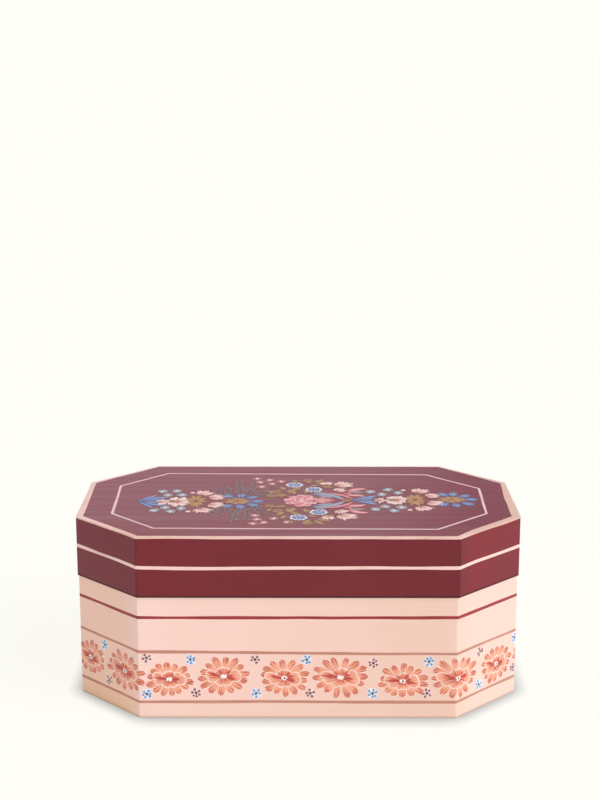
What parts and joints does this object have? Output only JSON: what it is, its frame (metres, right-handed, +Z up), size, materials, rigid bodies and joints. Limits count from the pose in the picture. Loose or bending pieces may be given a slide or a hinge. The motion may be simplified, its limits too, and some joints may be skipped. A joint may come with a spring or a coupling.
{
  "type": "keepsake box",
  "caption": "Long octagonal lift-off-lid keepsake box of mitred boards under painted papier mache, with an inner lip that locates the lid.",
  "frame": {"origin": "centre of the face that the box stands on", "axes": "+X along the length, +Y from the front to the back, +Z up, the way the lid lifts"},
  "size_m": [0.25, 0.144, 0.105],
  "materials": {
    "maroon_paint": "hand-painted maroon under satin varnish",
    "pale_paint": "hand-painted pale peach under satin varnish",
    "inside_paint": "plain dark maroon paint, matt",
    "core_board": "bare pressed paper board"
  },
  "bodies": {
    "base": {"base_underside_skin": "pale_paint", "base_side_skin": "pale_paint", "base_floor": "inside_paint", "base_wall_front": "core_board", "base_wall_front_right": "core_board", "base_wall_right": "core_board", "base_wall_back_right": "core_board", "base_wall_back": "core_board", "base_wall_back_left": "core_board", "base_wall_left": "core_board", "base_wall_front_left": "core_board", "base_lip_front": "inside_paint", "base_lip_front_right": "inside_paint", "base_lip_right": "inside_paint", "base_lip_back_right": "inside_paint", "base_lip_back": "inside_paint", "base_lip_back_left": "inside_paint", "base_lip_left": "inside_paint", "base_lip_front_left": "inside_paint"},
    "lid": {"lid_top_skin": "maroon_paint", "lid_side_skin": "maroon_paint", "lid_top_board": "core_board", "lid_side_front": "core_board", "lid_side_front_right": "core_board", "lid_side_right": "core_board", "lid_side_back_right": "core_board", "lid_side_back": "core_board", "lid_side_back_left": "core_board", "lid_side_left": "core_board", "lid_side_front_left": "core_board"}
  },
  "joints": [
    {"name": "lid_lift", "type": "slide", "parent": "base", "child": "lid", "axis": [0, 0, 1], "range_m": [0, 0.12]}
  ]
}
